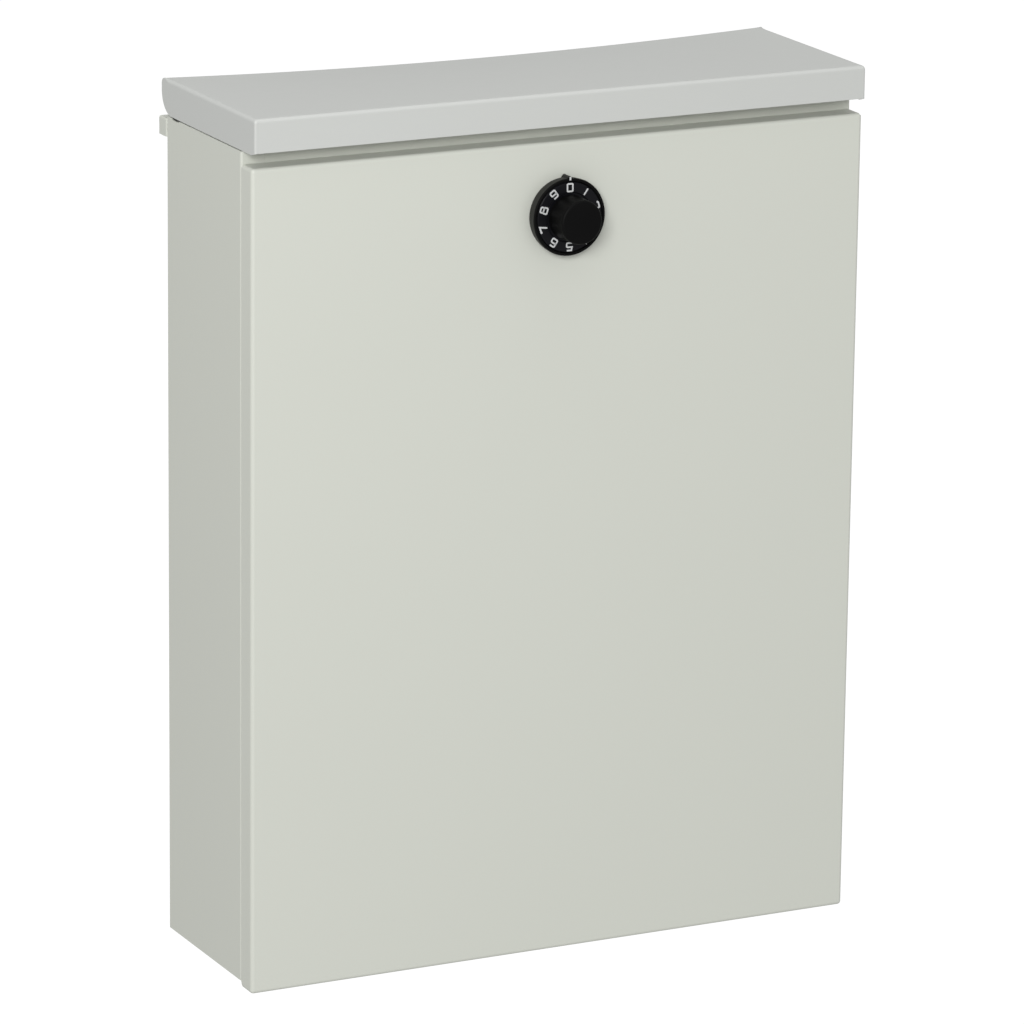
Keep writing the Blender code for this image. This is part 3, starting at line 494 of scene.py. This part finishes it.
def fold_edges(bm, bend):
    bm.normal_update()
    folds = [edge for edge in bm.edges if len(edge.link_faces) == 2 and edge.calc_face_angle(0) > FOLD_ANGLE]
    bmesh.ops.bevel(bm, geom=folds, offset=bend, segments=BEND_STEPS, profile=0.5, affect="EDGES")


def folded_sheet(name, low, high, walls, bend=BEND):
    """Sheet metal folded along the edges of a box: only the listed walls of the box are there."""
    bm = bmesh.new()
    corners = [bm.verts.new((x, y, z)) for x in (low[0], high[0]) for y in (low[1], high[1])
               for z in (low[2], high[2])]
    for wall in walls:
        bm.faces.new([corners[index] for index in WALL_CORNERS[wall]])
    for corner in corners:
        if not corner.link_faces:
            bm.verts.remove(corner)
    fold_edges(bm, bend)
    return thicken(mesh_object(name, bm, FINISHES["powder_coat"]))


def thicken(piece):
    solid = piece.modifiers.new("sheet", "SOLIDIFY")
    solid.thickness = SHEET
    solid.offset = -1.0
    solid.use_even_offset = True
    bake(piece)
    return piece


# ------------------------------------------------------------------ painted body

def build_sides():
    flange = side_high.x - header_high.x - GAP
    for side, word in ((-1, "left"), (1, "right")):
        outer = side * side_high.x
        inner = side * (side_high.x - flange)
        low = (min(outer, inner), side_low.y, side_low.z)
        high = (max(outer, inner), side_high.y, side_high.z)
        name = "side_panel_" + word
        walls = ("left" if side < 0 else "right", "front", "back")
        panel = folded_sheet(name + "_coated", low, high, walls, TIGHT_BEND)
        relief = [(RELIEF_Y + RELIEF_REACH * math.cos(math.radians(15 * step)),
                   side_high.z + RELIEF_DEPTH * math.sin(math.radians(15 * step))) for step in range(24)]
        combine(panel, prism_mesh(relief, outer - side * REACH, outer + side * REACH), "DIFFERENCE")
        soften(panel)
        place_piece(panel, "cabinet", [name])


def build_header():
    """The header runs flush into the sides' front flanges, with the seam welded and painted over."""
    low = (header_low.x - GAP, header_low.y, header_low.z)
    high = (header_high.x + GAP, header_high.y, header_high.z)
    header = folded_sheet("front_header_coated", low, high, ("front", "top"))
    place_piece(header, "cabinet", ["front_header"])


def build_hanging_rail():
    walls = ("top", "front", "back", "left", "right")
    rail = folded_sheet("hanging_rail_coated", hang_low, hang_high, walls, RAIL_BEND)
    soften(rail)
    place_piece(rail, "cabinet", ["hanging_rail"])


def drill(radius, x, steps, bm=None):
    """A round cutter through the door, level with the lock."""
    profile = [(0, -REACH), (radius, -REACH), (radius, REACH), (0, REACH)]
    return turned_mesh(profile, (x, LOCK_Z), steps, bm)


def build_door():
    """A pan folded on all four sides, with a small relief at its top right and slanted toes below."""
    door = folded_sheet("door_panel_coated", door_low, door_high, ("front", "left", "right", "top", "bottom"))
    notch_low = (HALF - CORNER_NOTCH, -REACH, door_high.z - CORNER_NOTCH)
    notch_high = (HALF + REACH, door_high.y + REACH, door_high.z + REACH)
    rear = door_high.y
    toe = [(rear - TOE_SLANT, -REACH), (rear - TOE_SLANT, TOE_LEVEL), (rear + 0.0001, TOE_CUT),
           (rear + REACH, TOE_CUT), (rear + REACH, -REACH)]
    for side in (-1, 1):
        if side > 0:
            combine(door, box_mesh(notch_low, notch_high), "DIFFERENCE")
        combine(door, prism_mesh(toe, side * (HALF - TOE_WIDTH), side * (HALF + REACH)), "DIFFERENCE")
    clear = HALF - SHEET - LIP_ENDS
    lip = box_mesh((-clear, DOOR_LIP, -REACH), (clear, door_high.y + REACH, SHEET + LIP_ENDS))
    combine(door, lip, "DIFFERENCE")
    holes = drill(POST_HOLE, 0, 48)
    for side in (-1, 1):
        drill(SCREW_HOLE, side * SCREW_OFFSET, 24, holes)
    combine(door, holes, "DIFFERENCE")
    soften(door)
    place_piece(door, "door", ["door_panel"])


# ------------------------------------------------------------------ lid

def lid_drop(x, y):
    across = 1.0 - (x / lid_high.x) ** 2
    along = max(0.0, (y - lid_low.y) / (LID_BACK - lid_low.y))
    return LID_SAG * max(0.0, across) * along ** 2


def cheek_outline():
    """The cheek's rear edge, from the top's rear corner round the pivot to the lower edge."""
    corner_y = PIVOT_Y + CHEEK_RADIUS - CHEEK_CORNER
    corner_z = lid_high.z - CHEEK_CORNER
    points = []
    for step in range(1, 9):
        turn = math.radians(90 - 90 * step / 8)
        points.append((corner_y + CHEEK_CORNER * math.cos(turn), corner_z + CHEEK_CORNER * math.sin(turn)))
    for step in range(0, 17):
        turn = math.radians(-90 * step / 16)
        points.append((PIVOT_Y + CHEEK_RADIUS * math.cos(turn), PIVOT_Z + CHEEK_RADIUS * math.sin(turn)))
    return points


def weigh_folds(bm):
    """The lip is bent down off the top, and meets the cheeks in nearly sharp upright corners."""
    weight = bm.edges.layers.float.new("bevel_weight_edge")
    for edge in bm.edges:
        if len(edge.link_faces) == 2 and edge.calc_face_angle(0) > FOLD_ANGLE:
            first, second = (vertex.co for vertex in edge.verts)
            upright = abs(first.z - second.z) > 0.002 and max(first.y, second.y) < lid_low.y + 0.001
            edge[weight] = LID_CORNER / BEND if upright else 1.0


def build_lid():
    columns = LID_COLUMNS
    front = lid_low.y
    top_z = lid_high.z
    xs = [lid_low.x + (lid_high.x - lid_low.x) * index / columns for index in range(columns + 1)]
    ys = [front + (LID_BACK - front) * index / LID_ROWS for index in range(LID_ROWS + 1)]
    bm = bmesh.new()
    top = [[bm.verts.new((x, y, top_z)) for x in xs] for y in ys]
    lip = [bm.verts.new((x, front, LIP_BOTTOM)) for x in xs]
    for near, far in zip(top, top[1:]):
        for index in range(columns):
            bm.faces.new((near[index], near[index + 1], far[index + 1], far[index]))
    for index in range(columns):
        bm.faces.new((lip[index], lip[index + 1], top[0][index + 1], top[0][index]))
    for index, column in ((0, 0), (-1, columns)):
        x = xs[index]
        edge = [row[column] for row in top]
        rear = [bm.verts.new((x, y, z)) for y, z in cheek_outline()]
        toe = bm.verts.new((x, front + CHEEK_TOE, PIVOT_Z - CHEEK_RADIUS))
        loop = edge + rear + [toe, lip[column]]
        bm.faces.new(loop if index == 0 else list(reversed(loop)))
    bm.normal_update()
    middle = Vector((0, (front + LID_BACK) / 2, LIP_BOTTOM - 0.02))
    inward = [face for face in bm.faces if face.normal.dot(face.calc_center_median() - middle) < 0]
    bmesh.ops.reverse_faces(bm, faces=inward)
    weigh_folds(bm)
    lid = mesh_object("lid_shell_coated", bm, LID_SHADED_COAT)
    fold = lid.modifiers.new("fold", "BEVEL")
    fold.width = BEND
    fold.segments = BEND_STEPS
    fold.limit_method = "WEIGHT"
    fold.use_clamp_overlap = False
    bake(lid)
    for vertex in lid.data.vertices:
        if vertex.co.z > top_z - BEND * 1.01:
            vertex.co.z -= lid_drop(vertex.co.x, vertex.co.y)
    thicken(lid)
    place_piece(lid, "lid", ["lid_shell"])


# ------------------------------------------------------------------ dial

def build_bezel():
    """The fixed ring, with a moulded line round its side and the rib the numbers are read against."""
    front = bezel_low.y
    outline = [
        (POST_HOLE, -GAP),
        (BEZEL_BASE, -GAP),
        (BEZEL_BASE + 0.0003, -0.0022),
        (BEZEL_BASE + 0.0002, -0.0024),
        (BEZEL_BASE + 0.0005, -0.0026),
        (BEZEL_RIM, front + BEZEL_EDGE),
        (BEZEL_RIM - 0.0003, front),
        (BEZEL_BORE, front),
        (BEZEL_BORE, BEZEL_FLOOR),
        (POST_HOLE, BEZEL_FLOOR),
        (POST_HOLE, -GAP),
    ]
    profile = round_corner(outline, MOULD_ROUND)[:-1]
    bezel = mesh_object("lock_bezel_moulded", turned_mesh(profile, (0, LOCK_Z)), BEZEL_BLACK)
    combine(bezel, rib_mesh(front), "UNION")
    clear = [(BEZEL_CORE, front - 0.002), (BEZEL_BORE, front - 0.002), (BEZEL_BORE, BEZEL_FLOOR),
             (BEZEL_CORE, BEZEL_FLOOR)]
    combine(bezel, turned_mesh(clear, (0, LOCK_Z)), "DIFFERENCE")
    place_piece(bezel, "door", ["lock_bezel"], 40)
    mark = ribbon_mesh([(0.0, MARK_INNER), (0.0, MARK_OUTER)], MARK_WIDTH)
    press(mark, front - FILL_RAISED, "dial_index_fill", "door")


def rib_mesh(front):
    """The index rib: a low roof across the ring's side, drawn in a little towards the front."""
    bm = bmesh.new()
    low = LOCK_Z + BEZEL_BASE - RIB_SUNK
    shoulder = LOCK_Z + RIB_SHOULDER
    tip = LOCK_Z + RIB_TIP
    shape = [(-RIB_FOOT, low), (RIB_FOOT, low), (RIB_SHOULDER_HALF, shoulder), (RIB_TIP_HALF, tip),
             (-RIB_TIP_HALF, tip), (-RIB_SHOULDER_HALF, shoulder)]
    rings = []
    for y, shrink in ((-0.0006, 0.0), (front + 0.0012, 0.0001), (front + 0.0002, 0.0006)):
        narrow = 1 - shrink * RIB_NARROWING
        rings.append([bm.verts.new((x * narrow, y, z - (shrink if z > low else 0))) for x, z in shape])
    bm.faces.new(rings[0])
    bm.faces.new(list(reversed(rings[-1])))
    for near, far in zip(rings, rings[1:]):
        for index in range(len(shape)):
            after = (index + 1) % len(shape)
            bm.faces.new((near[index], near[after], far[after], far[index]))
    bmesh.ops.recalc_face_normals(bm, faces=bm.faces)
    return bm


def build_dial():
    face = dial_low.y
    back = dial_high.y
    outline = [
        (SPINDLE_BORE, back),
        (DIAL_RADIUS, back),
        (DIAL_RADIUS, face + DIAL_EDGE),
        (DIAL_RADIUS - DIAL_EDGE, face),
        (GROOVE_RADIUS, face),
        (GROOVE_RADIUS - 0.0003, face + GROOVE_DEPTH),
        (SPINDLE_BORE, face + GROOVE_DEPTH),
        (SPINDLE_BORE, back),
    ]
    profile = round_corner(outline, 0.0002)[:-1]
    disc = mesh_object("dial_disc_moulded", turned_mesh(profile, (0, LOCK_Z)), FINISHES["black_plastic"])
    place_piece(disc, "dial", ["dial_disc"], 40)
    for number in range(10):
        turn = -math.radians(36 * number)
        bm = bmesh.new()
        for stroke in DIGITS[number]:
            add_digit_stroke(bm, stroke, turn)
        press(bm, face - FILL_RAISED, "dial_digit_%d" % number, "dial")


# Strokes as (across, up) from 0 to 1 in the digit's own box
DIGITS = {
    0: [[(0.12, 0), (0.88, 0), (1, 0.08), (1, 0.92), (0.88, 1), (0.12, 1), (0, 0.92), (0, 0.08), (0.12, 0)]],
    1: [[(0.5, 0), (0.5, 1)]],
    2: [[(0, 0.78), (0, 0.92), (0.12, 1), (0.88, 1), (1, 0.92), (1, 0.6), (0, 0.12), (0, 0), (1, 0)]],
    3: [[(0, 1), (1, 1), (1, 0.9), (0.45, 0.58)], [(0.45, 0.58), (0.85, 0.58), (1, 0.48), (1, 0.1), (0.88, 0),
                                                   (0.12, 0), (0, 0.1)]],
    4: [[(0.75, 0), (0.75, 1), (0, 0.3), (1, 0.3)]],
    5: [[(0.95, 1), (0.12, 1), (0, 0.56), (0.8, 0.56), (1, 0.46), (1, 0.1), (0.88, 0), (0, 0)]],
    6: [[(0.9, 1), (0.15, 1), (0, 0.9), (0, 0.1), (0.12, 0), (0.88, 0), (1, 0.1), (1, 0.46), (0.88, 0.55),
         (0, 0.55)]],
    7: [[(0, 0.82), (0, 1), (1, 1), (0.4, 0)]],
    8: [[(0.12, 0), (0.88, 0), (1, 0.08), (1, 0.44), (0.88, 0.52), (0.88, 0.58), (0.94, 0.64), (0.94, 0.92),
         (0.82, 1), (0.18, 1), (0.06, 0.92), (0.06, 0.64), (0.12, 0.58), (0.12, 0.52), (0, 0.44), (0, 0.08),
         (0.12, 0)], [(0.12, 0.55), (0.88, 0.55)]],
    9: [[(0.1, 0), (0.85, 0), (1, 0.1), (1, 0.9), (0.88, 1), (0.12, 1), (0, 0.9), (0, 0.54), (0.12, 0.45),
         (1, 0.45)]],
}


def ribbon_mesh(points, width, bm=None):
    """A flat ribbon of constant width along a line of (x, z), given from the lock's axis."""
    bm = bm or bmesh.new()
    closed = (Vector(points[0]) - Vector(points[-1])).length < 1e-6
    line = [Vector(point) for point in (points[:-1] if closed else points)]
    count = len(line)
    rows = []
    for index, here in enumerate(line):
        before = line[index - 1] if closed or index > 0 else None
        after = line[(index + 1) % count] if closed or index < count - 1 else None
        ways = [way.normalized() for way in ((here - before) if before else None,
                                             (after - here) if after else None) if way is not None]
        normals = [Vector((-way.y, way.x)) for way in ways]
        mitre = sum(normals, Vector((0, 0))).normalized()
        reach = width / 2 / max(0.5, mitre.dot(normals[0]))
        spots = [here + mitre * side * reach for side in (-1, 1)]
        rows.append([bm.verts.new((spot.x, 0.0, LOCK_Z + spot.y)) for spot in spots])
    for index in range(count if closed else count - 1):
        first, second = rows[index], rows[(index + 1) % count]
        bm.faces.new((first[0], second[0], second[1], first[1]))
    return bm


def add_digit_stroke(bm, stroke, turn):
    points = []
    for across, up in stroke:
        x = (across - 0.5) * 2 * DIGIT_HALF * DIGIT_ASPECT
        z = DIGIT_LOW + (DIGIT_HIGH - DIGIT_LOW) * (DIGIT_MARGIN + (1 - 2 * DIGIT_MARGIN) * up)
        points.append((x * math.cos(turn) - z * math.sin(turn), x * math.sin(turn) + z * math.cos(turn)))
    ribbon_mesh(points, DIGIT_STROKE, bm)


def press(bm, level, name, body):
    """Gives flat marks a thin body, standing a hair above the face they are on."""
    for vertex in bm.verts:
        vertex.co.y = level
    ring = bmesh.ops.extrude_face_region(bm, geom=bm.faces[:])
    for item in ring["geom"]:
        if isinstance(item, bmesh.types.BMVert):
            item.co.y += FILL_THICKNESS
    bmesh.ops.recalc_face_normals(bm, faces=bm.faces)
    mark = mesh_object(name, bm, WHITE)
    place_piece(mark, body)


def build_knob():
    """A plain round knob, slightly tapered, with a crowned edge and a faintly dished face."""
    front = knob_low.y
    back = knob_high.y
    outline = [(0, front + KNOB_TAPER), (KNOB_RIM - 0.0034, front + 0.00005), (KNOB_RIM - 0.0026, front)]
    crown_x = KNOB_RIM - KNOB_TAPER - KNOB_CROWN
    crown_y = front + KNOB_CROWN
    for step in range(0, 13):
        turn = math.radians(90 * step / 12)
        outline.append((crown_x + KNOB_CROWN * math.sin(turn), crown_y - KNOB_CROWN * math.cos(turn)))
    outline += [(KNOB_RIM, back - GAP), (KNOB_RIM - KNOB_TAPER, back), (SPINDLE_BORE, back),
                (SPINDLE_BORE, front + KNOB_WALL), (0, front + KNOB_WALL)]
    knob = mesh_object("dial_knob_moulded", turned_mesh(outline, (0, LOCK_Z)), KNOB_BLACK)
    place_piece(knob, "dial", ["dial_knob"], 40)


# ------------------------------------------------------------------ carried-over nodes

def finish_nodes():
    """The remaining nodes keep their shape and take their slot's finish."""
    slots = {item["node"]: item["material_slot"] for item in frame["record"]["subparts"]}
    for name, node in frame["nodes"].items():
        node.data.materials.clear()
        node.data.materials.append(FINISHES[slots[name]])
        if slots[name] == "powder_coat":
            level_shading(node)


# ------------------------------------------------------------------ light, floor and camera

def add_light(name, place, target, size, energy):
    lamp = bpy.data.lights.new(name, "AREA")
    lamp.shape = "RECTANGLE"
    lamp.size = size[0]
    lamp.size_y = size[1]
    lamp.energy = energy
    item = bpy.data.objects.new(name, lamp)
    bpy.context.scene.collection.objects.link(item)
    item.location = place
    item.rotation_euler = (Vector(target) - Vector(place)).to_track_quat("-Z", "Y").to_euler()


def way_to(azimuth, elevation):
    """A unit vector towards a light or the camera, with azimuth 0 in front of the door."""
    azimuth, elevation = math.radians(azimuth), math.radians(elevation)
    return Vector((math.sin(azimuth) * math.cos(elevation), -math.cos(azimuth) * math.cos(elevation),
                   math.sin(elevation)))


FLOOR_DROP = 0.45
FLOOR_REACH = 30.0
LIGHT_DISTANCE = 2.4
LIT_POINT = Vector((0.0, -0.1, -0.18))
SKY_STRENGTH = 0.513


def build_stage():
    """The cabinet hangs above a pale floor, far enough up for its door to swing down."""
    nodes = Nodes("studio_floor")
    cloud = nodes.noise(3.0, 2.0)
    nodes.link(nodes.mix(cloud, tone((0.17, 0.17, 0.17)), tone((0.19, 0.19, 0.19))), "Base Color")
    nodes.link(nodes.span(cloud, 0.8, 0.9), "Roughness")
    nodes.set(Emission_Color=(1, 1, 1, 1), Emission_Strength=0.93, Specular_IOR_Level=0.0)
    bm = bmesh.new()
    floor_z = cad_low.z - FLOOR_DROP
    corners = [(-1, -1), (1, -1), (1, 1), (-1, 1)]
    bm.faces.new([bm.verts.new((x * FLOOR_REACH, y * FLOOR_REACH, floor_z)) for x, y in corners])
    floor = mesh_object("studio_floor", bm, nodes.material)
    floor.visible_diffuse = False
    floor.visible_glossy = False
    world = bpy.data.worlds.new("studio")
    world.use_nodes = True
    bpy.context.scene.world = world
    background = world.node_tree.nodes["Background"]
    background.inputs["Color"].default_value = (1, 1, 1, 1)
    background.inputs["Strength"].default_value = SKY_STRENGTH
    add_light("key", LIT_POINT + way_to(-34, 23) * LIGHT_DISTANCE, LIT_POINT, (0.7, 0.7), 32.5)
    add_light("top", LIT_POINT + way_to(0, 89) * LIGHT_DISTANCE, LIT_POINT, (1.7, 1.5), 11)
    bpy.context.scene.view_settings.view_transform = "Standard"


AZIMUTH = -26.436
ELEVATION = 15.414
ROLL = 0.674
LENS = 223.507
DISTANCE = 3.0137
TARGET = Vector((-0.02493, 0.0, 0.22246))


def build_camera():
    roll = math.radians(ROLL)
    back = way_to(AZIMUTH, ELEVATION)
    right = (-back).cross(Vector((0, 0, 1))).normalized()
    up = right.cross(-back)
    across = right * math.cos(roll) + up * math.sin(roll)
    upward = -right * math.sin(roll) + up * math.cos(roll)
    camera = bpy.data.objects.new("camera", bpy.data.cameras.new("camera"))
    bpy.context.scene.collection.objects.link(camera)
    camera.data.lens = LENS
    camera.data.sensor_width = 36.0
    camera.data.clip_start = 0.1
    camera.data.clip_end = 50.0
    turn = Matrix((across, upward, back)).transposed().to_4x4()
    camera.matrix_world = Matrix.Translation(DATUM + TARGET + back * DISTANCE) @ turn
    bpy.context.scene.camera = camera


finish_nodes()
build_sides()
build_header()
build_hanging_rail()
build_door()
build_lid()
build_bezel()
build_dial()
build_knob()
build_stage()
build_camera()
